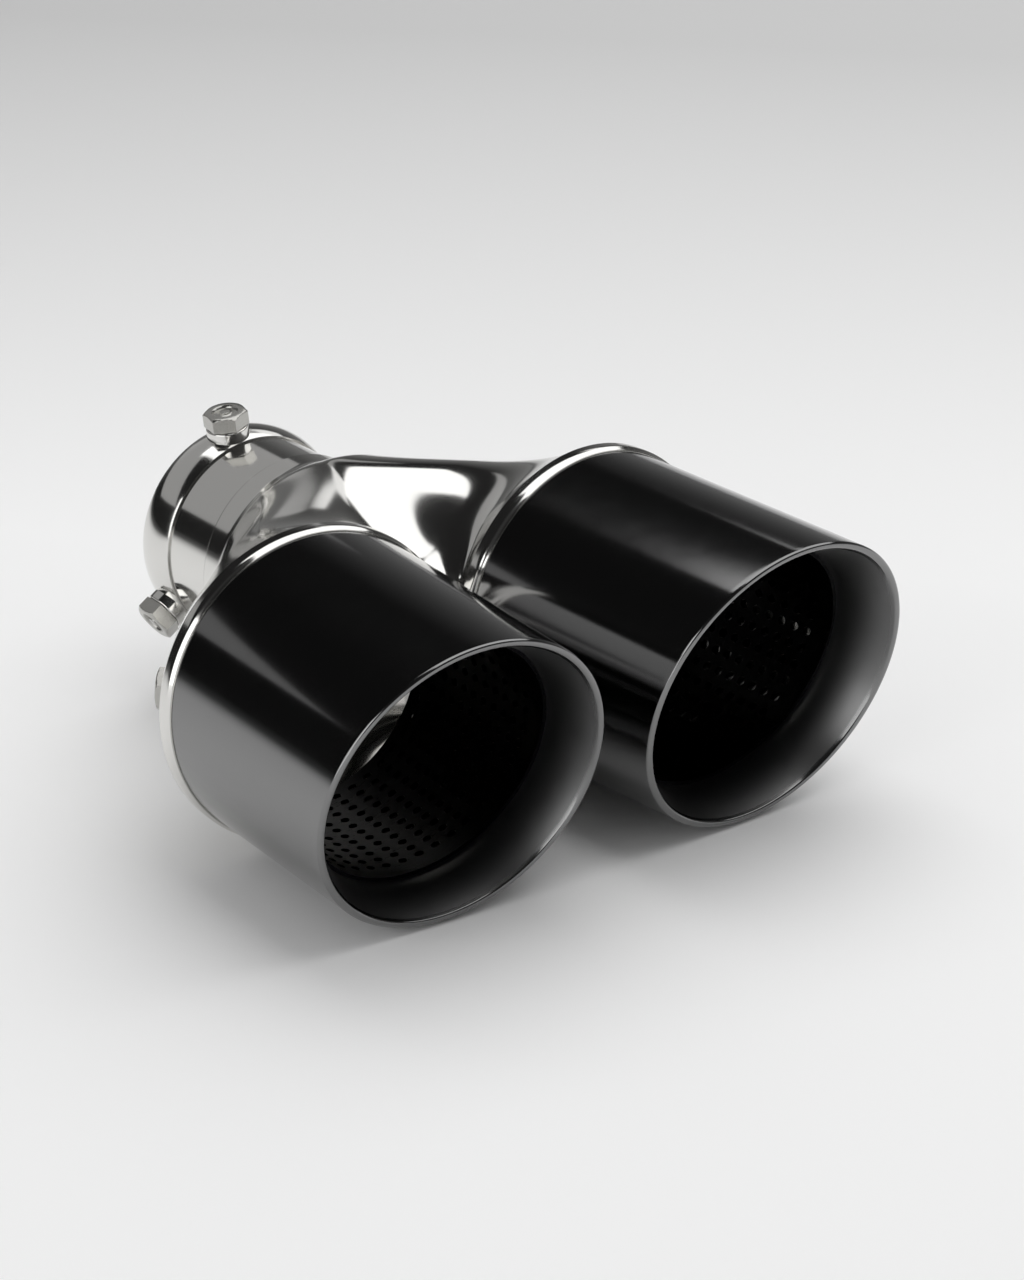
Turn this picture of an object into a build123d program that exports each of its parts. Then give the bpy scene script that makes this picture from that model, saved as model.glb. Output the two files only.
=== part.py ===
from build123d import *
import os
from math import asin, atan2, cos, pi, radians, sin, sqrt, tan

# Twin slant-cut exhaust tip, millimetres.
# The origin is the centre of the inlet mouth. +Y leaves the mouth towards the car's pipe,
# +Z is up, and both tips point along -Y. side is -1 for the left tip and +1 for the right.

# Inlet sleeve, sized to slip over a 63.5 mm pipe, and the clamp ring round its mouth
pipe_diameter = 63.5
pipe_clearance = 0.5
sleeve_wall = 1.5
sleeve_exposed = 22.0
ring_length = 14.5
ring_edge = 0.6
ring_bulge = 2.05

# Y body: two arms and the web between them, in a left and a right half
body_length = 89.0
body_wall = 1.2
arm_radius = 40.0
arm_lag = 1.12
arm_section_count = 12
flare_length = 36.0
shoulder_length = 14.0
socket_depth = 7.0
collar_depth = 5.0
collar_overlap = 4.0
web_blend = 22.0
web_sink = 0.5
web_front = 8.0
web_back = 70.0
web_section_count = 9

# Tips
tip_radius = 50.8
tip_wall = 1.5
tip_length = 86.7
tip_spacing = 108.0
tip_splay = 4.0
rim_slope = 0.26
rim_toe = 0.027
lip_radius = 2.2
lip_flat_count = 6
cone_depth = 18.4
cone_land = 6.0

# Perforated inner tubes and the pressed rings that close the gap round their rear ends
inner_radius = 43.0
inner_wall = 1.2
inner_tail = 7.0
hole_radius = 2.5
hole_row_count = 2
hole_column_count = 18
hole_row_pitch = 9.0
hole_first_row = 10.0
closing_wall = 1.2
closing_height = 6.0
closing_set_back = 3.0

# Hexagon screws, three that clamp the pipe and one on the flank of each arm
screw_radius = 4.0
screw_clearance = 0.1
head_across_flats = 13.0
head_height = 5.3
head_chamfer = 1.0
dish_radius = 4.2
dish_depth = 0.9
button_radius = 1.9
clamp_screw_angles = (98.0, 214.0, 336.0)
clamp_screw_set_back = 7.5
clamp_screw_end_gap = 0.3
clamp_boss_radius = 7.0
clamp_boss_height = 2.6
side_boss_station = 36.0
side_boss_drop = 8.0
side_boss_turn = 45.0
side_boss_radius = 7.5
side_boss_height = 3.7
side_screw_depth = 3.0

# Weld beads
bead_size = 1.1

# Gap that lets coaxial pieces slide together before they are welded, and gap under a welded boss
slip_fit = 0.05
weld_gap = 0.02

# How far a cutting shape runs past what it cuts
cut_overrun = 1.0

# Worked-out sizes
sleeve_inner = pipe_diameter / 2 + pipe_clearance
sleeve_outer = sleeve_inner + sleeve_wall
socket_outer = sleeve_outer + slip_fit + body_wall
collar_outer = tip_radius + slip_fit + body_wall
cone_radius = inner_radius + slip_fit
body_start = -(ring_length + sleeve_exposed)
path_length = body_length - socket_depth
tip_rear = body_start - body_length
whole_length = ring_length + sleeve_exposed + body_length + tip_length
large = 2 * (tip_spacing + whole_length)


def ease(t):
    """Smooth rise from 0 to 1 with level ends."""
    t = min(max(t, 0.0), 1.0)
    return t * t * (3 - 2 * t)


def arm_offset(station):
    """Sideways distance of an arm's centre, station mm behind the tips' rear edge."""
    share = max(station - collar_depth, 0.0) / (path_length - collar_depth)
    return tip_spacing / 2 * (1 - ease(share**arm_lag))


def arm_size(station):
    """Outer radius of an arm there: round shoulder, barrel, and flare up to the collar."""
    shoulder = ease((station - path_length + shoulder_length) / shoulder_length)
    flare = max(0.0, 1 - (station - collar_depth) / flare_length) ** 2
    return arm_radius + (socket_outer - arm_radius) * shoulder + (collar_outer - arm_radius) * flare


def cross_plane(x, y, turn):
    """Plane across a pipe that runs along Y, facing the tips, its normal turned by an angle towards +X."""
    return Plane(origin=(x, y, 0), x_dir=(cos(turn), sin(turn), 0), z_dir=(sin(turn), -cos(turn), 0))


def tip_plane(side):
    """Plane across a tip at the front edge of its collar, with Z out of the tip and Y up."""
    return cross_plane(side * tip_spacing / 2, tip_rear, side * radians(tip_splay))


def arm_plane(station):
    """Plane across the right arm, turned with the tip at the collar and square further back."""
    turn = radians(tip_splay) * (1 - ease((station - collar_depth) / flare_length))
    x = arm_offset(station) - collar_depth * sin(turn)
    y = tip_rear + station - collar_depth * (1 - cos(turn))
    return cross_plane(x, y, turn)


def upright(radius, low, high):
    """Cylinder along Z."""
    return Pos(0, 0, low) * Cylinder(radius, high - low, align=(Align.CENTER, Align.CENTER, Align.MIN))


def tube(outer, inner, low, high):
    """Straight tube along Z."""
    return upright(outer, low, high) - upright(inner, low, high)


def turned(outline):
    """Solid turned about Z from a closed outline whose points are (radius, height)."""
    face = make_face(outline)
    return revolve(Plane.XZ * face, axis=Axis.Z)


def ring_of_points(points):
    """Solid turned about Z from a polygon of (radius, height) points."""
    return turned(Polyline(*points, close=True))


def on_inlet(shape):
    """Lays a shape drawn along Z on the inlet's axis, with its height running along +Y."""
    return Rot(X=-90) * shape


def spaced(first, last, count):
    """Evenly spaced values, both ends included."""
    return [first + (last - first) * i / (count - 1) for i in range(count)]


def right_side():
    """Everything to the right of the middle."""
    return Pos(large / 2, 0, 0) * Box(large, large, large)


def arm_form(inset):
    """Right arm as a solid, inset from its outer surface, kept on its own side of the middle."""
    faces = [
        arm_plane(station) * Circle(arm_size(station) - inset)
        for station in spaced(collar_depth, path_length, arm_section_count)
    ]
    overrun = cut_overrun if inset else 0.0
    collar = tip_plane(1) * upright(collar_outer - inset, -collar_depth, overrun)
    socket = on_inlet(upright(socket_outer - inset, body_start - socket_depth, body_start + overrun))
    return (loft(faces) + collar + socket) & right_side()


def web_face(station, inset):
    """Upper half of the web's section there: a hollow arc tangent to circles just inside both arms."""
    offset = arm_offset(station)
    circle = arm_size(station) - inset - web_sink
    blend = web_blend + inset
    reach = circle + blend
    height = sqrt(reach**2 - offset**2)
    side = offset * blend / reach
    edge = height * circle / reach
    arc = ThreePointArc((-side, edge), (0, height - blend), (side, edge))
    lines = Polyline((side, edge), (side, 0), (-side, 0), (-side, edge))
    return cross_plane(0, tip_rear + station, 0) * make_face(arc + lines)


def web_form(inset):
    """Web between the arms as a solid, inset from its outer surface."""
    stations = spaced(web_front + inset, web_back, web_section_count)
    upper = loft([web_face(station, inset) for station in stations])
    return upper + mirror(upper, about=Plane.XY)


def body_form(inset):
    """Both arms and the web as one solid, inset from its outer surface."""
    arm = arm_form(inset)
    return arm + mirror(arm, about=Plane.YZ) + web_form(inset)


def tip_shear(side):
    """Slides each fibre of a tip along its axis, so that a square rim leans back and toes out."""
    return Matrix([[1, 0, 0, 0], [0, 1, 0, 0], [side * rim_toe, rim_slope, 1, 0], [0, 0, 0, 1]])


def front_cut(side, height):
    """Plane parallel to the leaning rim that crosses the tip's axis at a height."""
    return Plane(origin=(0, 0, height), z_dir=(-side * rim_toe, -rim_slope, 1))


def slant_tube(side, outer, inner, low, front):
    """Tube along a tip, square behind and cut in front by a plane parallel to the rim."""
    pipe = tube(outer, inner, low, front + outer)
    return split(pipe, bisect_by=front_cut(side, front), keep=Keep.BOTTOM)


def outer_shell(side):
    """Sheet rolled into a tube, round lip, cone and the land that holds the inner tube.

    The lip's curve is a ring of narrow flats, and the inside of its bend, which is closed off, has two.
    """
    lip = (tip_radius - lip_radius, tip_length - lip_radius)
    cone = (cone_radius, tip_length - cone_depth)
    run = (lip[0] - cone[0], lip[1] - cone[1])
    lean = atan2(*run) - asin(lip_radius / sqrt(run[0] ** 2 + run[1] ** 2))

    def on_lip(radius, angle):
        return (lip[0] + radius * cos(angle), lip[1] + radius * sin(angle))

    end = pi - lean
    inner_lip = lip_radius - tip_wall
    back = (cone[0] + tip_wall, cone[1] - tip_wall * tan(lean / 2))
    outline = Polyline(
        *[on_lip(lip_radius, end * step / lip_flat_count) for step in range(lip_flat_count + 1)],
        cone,
        (cone[0], cone[1] - cone_land),
        (back[0], cone[1] - cone_land),
        back,
        on_lip(inner_lip, end),
        on_lip(inner_lip, end / 2),
        on_lip(inner_lip, 0),
        close=True,
    )
    rolled = turned(outline).transform_geometry(tip_shear(side))
    wall = slant_tube(side, tip_radius, tip_radius - tip_wall, -collar_overlap, lip[1])
    return tip_plane(side) * (wall + rolled)


def hole(side, row, column):
    """Radial six-sided pin that cuts one perforation, its row following the leaning front."""
    angle = 2 * pi * (column + row % 2 / 2) / hole_column_count
    x, y = inner_radius * cos(angle), inner_radius * sin(angle)
    front = tip_length - cone_depth - hole_first_row - row * hole_row_pitch
    at = Plane(origin=(x, y, front + side * rim_toe * x + rim_slope * y), z_dir=(cos(angle), sin(angle), 0))
    return at * extrude(RegularPolygon(hole_radius, 6), inner_wall + cut_overrun, both=True)


def inner_tube(side):
    """Perforated tube, cut in front parallel to the rim."""
    pipe = slant_tube(side, inner_radius, inner_radius - inner_wall, -inner_tail, tip_length - cone_depth)
    holes = [
        hole(side, row, column)
        for row in range(hole_row_count)
        for column in range(hole_column_count)
    ]
    return tip_plane(side) * (pipe - holes)


def closing_ring(side):
    """Pressed channel that closes the gap between the shell and the inner tube at their rear."""
    inner = cone_radius
    outer = tip_radius - tip_wall - slip_fit
    rear = -closing_set_back
    front = rear + closing_height
    channel = ring_of_points([
        (inner, rear),
        (outer, rear),
        (outer, front),
        (outer - closing_wall, front),
        (outer - closing_wall, rear + closing_wall),
        (inner + closing_wall, rear + closing_wall),
        (inner + closing_wall, front),
        (inner, front),
    ])
    return tip_plane(side) * channel


def bead(radius, size):
    """Quarter-round weld bead on a pipe, with its flat back at height 0."""
    outline = Polyline((radius, size), (radius, 0), (radius + size, 0))
    outline += RadiusArc((radius + size, 0), (radius, size), -size)
    return turned(outline)


def at_clamp_screw(angle, shape):
    """Stands a shape drawn along Z on the clamp ring, with its height running outwards from the axis."""
    turn = radians(angle)
    return Plane(origin=(0, -clamp_screw_set_back, 0), z_dir=(cos(turn), 0, sin(turn))) * shape


def clamp_shank(radius):
    """Straight core of a clamp screw, from just outside the bore to the top of its boss."""
    return upright(radius, sleeve_inner + clamp_screw_end_gap, clamp_boss_top)


def clamp_holes():
    """Clearance holes for the three clamp screws."""
    bore = clamp_shank(screw_radius + screw_clearance)
    return [at_clamp_screw(angle, bore) for angle in clamp_screw_angles]


def inlet_sleeve():
    """Plain tube that takes the car's pipe and enters the body's socket."""
    start = body_start - socket_depth
    return on_inlet(tube(sleeve_outer, sleeve_inner, start, 0)) - clamp_bores


def ring_form(skin):
    """Clamp ring as a solid of revolution, before its screw holes, its outside grown by a skin."""
    inner = sleeve_outer + slip_fit
    edge = inner + ring_edge + skin
    outline = ThreePointArc((edge, -ring_length), (inner + ring_bulge + skin, -ring_length / 2), (edge, 0))
    outline += Polyline((edge, 0), (inner, 0), (inner, -ring_length), (edge, -ring_length))
    return on_inlet(turned(outline))


def clamp_bosses():
    """Three round welded bosses, each shaped to the ring that it stands on."""
    boss = tube(clamp_boss_radius, screw_radius + screw_clearance, sleeve_outer, clamp_boss_top)
    seat = ring_form(weld_gap) + on_inlet(upright(sleeve_outer + slip_fit, -ring_length, 0))
    return [at_clamp_screw(angle, boss) - seat for angle in clamp_screw_angles]


def screw(depth):
    """Hexagon screw with a dished head, its head standing on height 0 and its shank below."""
    corner = head_across_flats / sqrt(3)
    blank = upright(corner, 0, head_height)
    blank = chamfer(blank.edges().sort_by(Axis.Z)[-1], head_chamfer / 2, head_chamfer)
    head = extrude(RegularPolygon(head_across_flats / 2, 6, major_radius=False), head_height) & blank
    dish = tube(dish_radius, button_radius, head_height - dish_depth, head_height)
    return head - dish + upright(screw_radius, -depth, 0)


def clamp_screws():
    """The three clamp screws, their ends just clear of the bore."""
    seated = Pos(0, 0, clamp_boss_top) * screw(clamp_boss_top - sleeve_inner - clamp_screw_end_gap)
    return [at_clamp_screw(angle, seated) for angle in clamp_screw_angles]


def on_flank(side, shape):
    """Stands a shape drawn along Z on the outer flank of an arm, square to the skin seen from above."""
    turn = radians(side_boss_turn)
    flank = arm_offset(side_boss_station) + sqrt(arm_size(side_boss_station) ** 2 - side_boss_drop**2)
    place = (side * flank, tip_rear + side_boss_station, -side_boss_drop)
    return Plane(origin=place, z_dir=(side * cos(turn), sin(turn), 0)) * shape


def side_boss(side):
    """Round boss welded to the flank of an arm, with a blind hole for its screw."""
    stem = upright(side_boss_radius, -side_boss_radius, side_boss_height)
    bore = upright(screw_radius + screw_clearance, side_boss_height - side_screw_depth, side_boss_height)
    return on_flank(side, stem - bore) - body_outside


def side_screw(side):
    """Screw in the flank's boss."""
    return on_flank(side, Pos(0, 0, side_boss_height) * screw(side_screw_depth))


clamp_boss_top = sleeve_outer + slip_fit + ring_bulge + clamp_boss_height
clamp_bores = clamp_holes()
body_outside = body_form(0)
right_half = (body_outside - body_form(body_wall)) & right_side()

parts = {
    "inlet_sleeve": inlet_sleeve(),
    "clamp_ring": ring_form(0) - clamp_bores,
    "clamp_bosses": Compound(children=clamp_bosses()),
    "clamp_screws": Compound(children=clamp_screws()),
    "body_right_half": right_half,
    "body_left_half": mirror(right_half, about=Plane.YZ),
    "inlet_weld": on_inlet(Pos(0, 0, body_start) * bead(sleeve_outer, bead_size)),
}
for name, side in (("left", -1), ("right", 1)):
    parts[name + "_outer_shell"] = outer_shell(side)
    parts[name + "_inner_tube"] = inner_tube(side)
    parts[name + "_closing_ring"] = closing_ring(side)
    parts[name + "_collar_weld"] = tip_plane(side) * bead(tip_radius, bead_size)
    parts[name + "_side_boss"] = side_boss(side)
    parts[name + "_side_screw"] = side_screw(side)

os.makedirs("parts", exist_ok=True)
for name, shape in parts.items():
    export_step(shape, f"parts/{name}.step")
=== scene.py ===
"""Twin slant-cut exhaust tip: polished Y body, black chrome tips, clamp inlet and studio."""
from math import asin, atan2, cos, hypot, pi, radians, sin, sqrt, tan

import bmesh
import bpy
from bpy.props import FloatProperty, FloatVectorProperty, IntProperty
from mathutils import Matrix, Vector


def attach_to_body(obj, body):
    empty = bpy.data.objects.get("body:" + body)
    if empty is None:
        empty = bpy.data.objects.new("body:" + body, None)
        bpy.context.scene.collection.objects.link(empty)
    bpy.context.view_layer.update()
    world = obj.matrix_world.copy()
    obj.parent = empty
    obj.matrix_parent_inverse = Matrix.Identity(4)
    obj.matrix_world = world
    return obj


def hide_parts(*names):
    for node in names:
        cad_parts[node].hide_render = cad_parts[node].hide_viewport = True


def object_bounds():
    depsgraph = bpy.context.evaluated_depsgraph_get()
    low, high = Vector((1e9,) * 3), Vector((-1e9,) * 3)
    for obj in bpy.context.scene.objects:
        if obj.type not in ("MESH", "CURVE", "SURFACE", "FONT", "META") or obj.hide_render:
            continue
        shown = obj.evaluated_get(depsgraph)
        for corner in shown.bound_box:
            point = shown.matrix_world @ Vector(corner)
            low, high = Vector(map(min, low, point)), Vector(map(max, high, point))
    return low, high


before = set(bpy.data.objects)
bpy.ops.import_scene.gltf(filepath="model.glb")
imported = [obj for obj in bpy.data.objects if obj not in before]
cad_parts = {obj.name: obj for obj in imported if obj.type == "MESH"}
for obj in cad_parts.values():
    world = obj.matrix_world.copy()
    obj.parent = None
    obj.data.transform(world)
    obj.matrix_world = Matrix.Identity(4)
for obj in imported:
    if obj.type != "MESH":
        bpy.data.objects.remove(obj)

bl_info = {
    "name": "Twin exhaust tip",
    "version": (1, 0, 0),
    "blender": (4, 5, 0),
    "location": "3D View > Sidebar > Exhaust",
    "description": "Dresses a twin slant-cut exhaust tip and sets it in a pale studio",
    "category": "Object",
}

MM = 0.001
BODY = "root"
SIDES = (("left", -1), ("right", 1))
CAD_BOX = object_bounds()
BODY_NODES = [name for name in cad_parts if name.startswith("body_")]
HALVINGS = 34


def size(name, description, default):
    """A length property in metres, given in millimetres."""
    return FloatProperty(
        name=name, description=description, default=default * MM, unit="LENGTH", subtype="DISTANCE"
    )


def turn_of(name, description, degrees):
    """An angle property in radians, given in degrees."""
    return FloatProperty(
        name=name, description=description, default=radians(degrees), unit="ROTATION", subtype="ANGLE"
    )


def srgb(text):
    """Linear colour, with alpha, from an sRGB hex value."""
    parts = [int(text[i : i + 2], 16) / 255 for i in (1, 3, 5)]
    linear = [p / 12.92 if p <= 0.04045 else ((p + 0.055) / 1.055) ** 2.4 for p in parts]
    return (*linear, 1.0)


def colour(name, description, default):
    """A colour property whose default is given as an sRGB hex value."""
    return FloatVectorProperty(
        name=name, description=description, default=srgb(default)[:3], min=0, max=1, subtype="COLOR"
    )


class TipSizes(bpy.types.PropertyGroup):
    """Sizes of the tips and of what is inside them."""

    radius: size("Radius", "Outer radius of a tip", 50.8)
    wall: size("Wall", "Thickness of a tip's sheet", 1.5)
    length: size("Length", "Length along the axis, from the collar's front to the lip", 86.7)
    spacing: size("Spacing", "Distance between the tips' axes at the collars", 108.0)
    splay: turn_of("Splay", "Outward turn of a tip", 4)
    slope: FloatProperty(name="Rim slope", description="Forward lean of the rim for its height", default=0.26)
    toe: FloatProperty(name="Rim toe", description="Forward lean of the rim for its width", default=0.027)
    lip: size("Lip radius", "Radius of the rolled lip", 1.3)
    flare: turn_of("Flare", "Angle of the cone at the lip", 27)
    cone_depth: size("Cone depth", "Depth of the inner cone behind the lip", 18.4)
    land: size("Land", "Straight land behind the cone", 6.0)
    tube_radius: size("Tube radius", "Outer radius of the perforated tube", 43.0)
    tube_wall: size("Tube wall", "Thickness of the perforated tube", 1.2)
    tube_tail: size("Tube tail", "How far the tube reaches behind the collar's front", 7.0)
    hole: size("Hole radius", "Radius of a perforation", 1.7)
    plain_front: size("Plain front", "Unpierced front end of the tube", 6.5)
    plain_rear: size("Plain rear", "Unpierced rear end of the tube", 3.0)
    set_back: size("Tube set back", "From the cone's end to the tube's front edge", 2.5)
    bead: size("Bead", "Height of the weld bead at the collar", 0.4)
    columns: IntProperty(name="Columns", description="Perforations round the tube", default=44)
    rows: IntProperty(name="Rows", description="Perforations along the tube", default=11)


class BodySizes(bpy.types.PropertyGroup):
    """Sizes of the Y body and of its inlet."""

    length: size("Length", "From the collars' fronts to the end of the socket", 89.0)
    wall: size("Wall", "Thickness of the body's sheet", 1.2)
    arm: size("Arm radius", "Radius of an arm's barrel", 40.0)
    lag: FloatProperty(name="Lag", description="How late the arms part", default=1.12)
    flare: size("Flare", "Length of the flare behind a collar", 36.0)
    shoulder: size("Shoulder", "Length of the round shoulder at the socket", 14.0)
    socket: size("Socket", "Depth of the socket for the sleeve", 7.0)
    collar: size("Collar", "Depth of the collar round a tip", 5.0)
    dressed: size("Dressed", "How far a collar's front edge is ground down to the tip", 0.85)
    dressing: size("Dressing", "Length of that ground edge", 1.4)
    overlap: size("Overlap", "How far a tip reaches into its collar", 4.0)
    blend: size("Blend", "Radius of the hollow between the arms", 22.0)
    fade: size("Fade", "Where the hollow between the arms has closed up, behind the collars", 8.0)
    closing: size("Closing", "Length over which that hollow closes up", 14.0)
    web_gap: size("Web gap", "What stays between the two arms there", 0.15)
    sleeve: size("Sleeve radius", "Outer radius of the inlet sleeve", 33.75)
    sleeve_wall: size("Sleeve wall", "Thickness of the inlet sleeve", 1.5)
    exposed: size("Exposed sleeve", "Sleeve that shows between body and ring", 22.0)
    ring: size("Ring length", "Length of the clamp ring", 14.5)
    ring_edge: size("Ring edge", "Thickness of the clamp ring at its edges", 0.6)
    ring_bulge: size("Ring bulge", "Thickness of the clamp ring in the middle", 2.05)
    gap: size("Slip fit", "Gap between pieces that slide together", 0.05)


class ScrewSizes(bpy.types.PropertyGroup):
    """Sizes of the hexagon screws and of the bosses that hold them."""

    radius: size("Radius", "Radius of the thread", 4.0)
    flats: size("Across flats", "Width of the head across its flats", 13.0)
    head: size("Head height", "Height of the head", 5.3)
    dish: size("Dish radius", "Radius of the hollow in the head", 4.2)
    dish_depth: size("Dish depth", "Depth of the hollow in the head", 0.9)
    button: size("Button radius", "Radius of the raised middle of the head", 1.9)
    pitch: size("Pitch", "Pitch of the thread", 1.25)
    angles: FloatVectorProperty(
        name="Clamp angles",
        description="Where the clamp screws stand round the inlet",
        size=3,
        default=(radians(98), radians(214), radians(336)),
        unit="ROTATION",
        subtype="EULER",
    )
    set_back: size("Set back", "From the inlet mouth to the clamp screws", 7.5)
    end_gap: size("End gap", "From the bore to the end of a clamp screw", 0.3)
    boss: size("Boss radius", "Radius of the clamp screws' bosses", 7.0)
    boss_height: size("Boss height", "Height of those bosses above the ring", 2.6)
    flank_station: size("Flank station", "From the collars' fronts to the flank screws", 36.0)
    flank_drop: size("Flank drop", "How far the flank screws stand below the arms' middle", 8.0)
    flank_turn: turn_of("Flank turn", "Backward turn of the flank screws", 45)
    flank_boss: size("Flank boss radius", "Radius of the bosses on the flanks", 7.5)
    flank_height: size("Flank boss height", "Height of those bosses above the flank", 3.7)
    flank_depth: size("Flank screw depth", "Depth of a flank screw in its boss", 3.0)


class Colours(bpy.types.PropertyGroup):
    """Colours of the finishes and of the studio."""

    mirror: colour("Mirror steel", "Polished stainless steel", "#E0DFDC")
    black: colour("Black chrome", "Gloss black chrome", "#828282")
    # The tube colour is near black as painted shade for the deep inside of the tips.
    tube: colour("Tube steel", "Inner tubes, near black as painted shade", "#101011")
    screw: colour("Screw steel", "Turned steel of the screws", "#B5B4B0")
    floor: colour("Floor", "Studio floor", "#F3F3F3")


def ease(t):
    """Smooth rise from 0 to 1 with level ends."""
    t = min(max(t, 0.0), 1.0)
    return t * t * (3 - 2 * t)


def body_sizes():
    return bpy.context.scene.exhaust_body


def tip_sizes():
    return bpy.context.scene.exhaust_tip


def screw_sizes():
    return bpy.context.scene.exhaust_screw


def colours():
    return bpy.context.scene.exhaust_colours


def socket_end():
    """Where the body's socket ends on the inlet's axis."""
    b = body_sizes()
    return -(b.ring + b.exposed)


def tips_rear():
    """Where the collars' front edges lie on the inlet's axis."""
    return socket_end() - body_sizes().length


def path_length():
    b = body_sizes()
    return b.length - b.socket


def arm_offset(station):
    """Sideways distance of an arm's centre, station behind the collars' fronts."""
    b = body_sizes()
    share = max(station - b.collar, 0) / (path_length() - b.collar)
    return tip_sizes().spacing / 2 * (1 - ease(share**b.lag))


def socket_radius():
    b = body_sizes()
    return b.sleeve + b.gap + b.wall


def collar_radius():
    t, b = tip_sizes(), body_sizes()
    return t.radius + b.gap + b.wall


def arm_radius(station):
    """Outer radius of an arm: round shoulder, barrel, and flare up to the collar."""
    b = body_sizes()
    shoulder = ease((station - path_length() + b.shoulder) / b.shoulder)
    flare = max(0.0, 1 - (station - b.collar) / b.flare) ** 2
    return b.arm + (socket_radius() - b.arm) * shoulder + (collar_radius() - b.arm) * flare


def cross_frame(x, y, turn):
    """Matrix of a plane across a pipe along Y: X across, Y up and Z towards the tips."""
    across = Vector((cos(turn), sin(turn), 0))
    out = Vector((sin(turn), -cos(turn), 0))
    up = Vector((0, 0, 1))
    matrix = Matrix((across, up, out)).transposed().to_4x4()
    matrix.translation = Vector((x, y, 0))
    return matrix


def tip_frame(side):
    """Plane at the front edge of a collar, with Z out of the tip."""
    t = tip_sizes()
    return cross_frame(side * t.spacing / 2, tips_rear(), side * t.splay)


def arm_frame(station):
    """Plane across the right arm, turned with the tip at the collar and square further back."""
    t, b = tip_sizes(), body_sizes()
    turn = t.splay * (1 - ease((station - b.collar) / b.flare))
    x = arm_offset(station) - b.collar * sin(turn)
    y = tips_rear() + station - b.collar * (1 - cos(turn))
    return cross_frame(x, y, turn), turn


def node(tree, kind, at, settings=None, **inputs):
    """Adds a node with its options and inputs, named or as i and a number, and links those that are sockets."""
    added = tree.nodes.new(kind)
    added.location = at
    for key, value in (settings or {}).items():
        setattr(added, key, value)
    for key, value in inputs.items():
        numbered = key[0] == "i" and key[1:].isdigit()
        socket = added.inputs[int(key[1:]) if numbered else key.replace("_", " ")]
        if isinstance(value, bpy.types.NodeSocket):
            tree.links.new(value, socket)
        else:
            socket.default_value = value
    return added


def new_material(name, shader_inputs):
    """Material with one Principled shader, and its tree and shader."""
    material = bpy.data.materials.new(name)
    material.use_nodes = True
    tree = material.node_tree
    tree.nodes.clear()
    shader = node(tree, "ShaderNodeBsdfPrincipled", (300, 0), **shader_inputs)
    output = node(tree, "ShaderNodeOutputMaterial", (600, 0), Surface=shader.outputs["BSDF"])
    output.is_active_output = True
    return material, tree, shader


def across(length):
    """Scale of a pattern whose grain is a length in millimetres across."""
    return 1 / (length * MM)


def metal(name, tint, gloss, relief, stretch=1.0):
    """A metal, its tree and shader, and the sockets of its grain and roughness.

    gloss holds a grain's width in mm, its detail, and the roughness from and to. relief holds a grain's width
    in mm, its detail, strength and depth in mm. stretch draws both into lines that run across Y.
    """
    material, tree, shader = new_material(name, {"Metallic": 1.0})
    shader.inputs["Base Color"].default_value = (*tint, 1)
    place = node(tree, "ShaderNodeTexCoord", (-1100, 0))
    mapping = node(tree, "ShaderNodeMapping", (-900, 0), Vector=place.outputs["Object"], Scale=(1, stretch, 1))
    drawn = mapping.outputs["Vector"]
    width, detail, low, high = gloss
    grain = node(tree, "ShaderNodeTexNoise", (-600, 120), Vector=drawn, Scale=across(width), Detail=detail)
    rough = node(tree, "ShaderNodeMapRange", (-300, 120), Value=grain.outputs["Fac"], To_Min=low, To_Max=high)
    tree.links.new(rough.outputs["Result"], shader.inputs["Roughness"])
    width, detail, strength, depth = relief
    wave = node(tree, "ShaderNodeTexNoise", (-600, -180), Vector=drawn, Scale=across(width), Detail=detail)
    height = wave.outputs["Fac"]
    bump = node(tree, "ShaderNodeBump", (-300, -180), Strength=strength, Distance=depth * MM, Height=height)
    tree.links.new(bump.outputs["Normal"], shader.inputs["Normal"])
    return material, tree, shader, grain.outputs["Fac"], rough.outputs["Result"]


def mirror_steel():
    """Stainless steel buffed to a mirror: clear reflections, bent by the faint waves that the wheel leaves."""
    return metal(
        "Mirror polished stainless", colours().mirror, (11.1, 4.0, 0.09, 0.14), (22.2, 1.0, 0.05, 0.4)
    )[0]


def black_chrome():
    """Black chrome plate: a dark, neutral mirror with a clear gloss, hazier in the cone, which isn't buffed."""
    material, tree, shader, _, rough = metal(
        "Gloss black chrome", colours().black, (7.14, 5.0, 0.09, 0.14), (33.3, 1.0, 0.03, 0.4)
    )
    cone_haze = 0.24
    inside = node(tree, "ShaderNodeAttribute", (-300, 320), {"attribute_name": "cone"})
    softer = node(
        tree,
        "ShaderNodeMath",
        (0, 200),
        {"operation": "MULTIPLY_ADD"},
        i0=inside.outputs["Fac"],
        i1=cone_haze,
        i2=rough,
    )
    tree.links.new(softer.outputs["Value"], shader.inputs["Roughness"])
    return material


def shaded_tube_steel():
    """Dark satin steel whose near-black colour is painted shade for the deep inside of the tips: a dull grain
    round the tube that breaks reflections into streaks.

    The grain is drawn about 0.5 mm wide, coarser than the real one, which would not show.
    """
    # Near-black tint: painted shade for the deep inside of the tips.
    tint = colours().tube
    material, tree, shader, grain, _ = metal(
        "Satin steel with painted shade", tint, (4.55, 6.0, 0.22, 0.38), (4.55, 6.0, 0.1, 0.2), stretch=9.0
    )
    worn = 0.6
    shade = node(
        tree,
        "ShaderNodeMix",
        (-300, 320),
        {"data_type": "RGBA"},
        Factor=grain,
        i6=(*tint, 1),
        i7=(*[worn * v for v in tint], 1),
    )
    tree.links.new(shade.outputs[2], shader.inputs["Base Color"])
    return material


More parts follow.
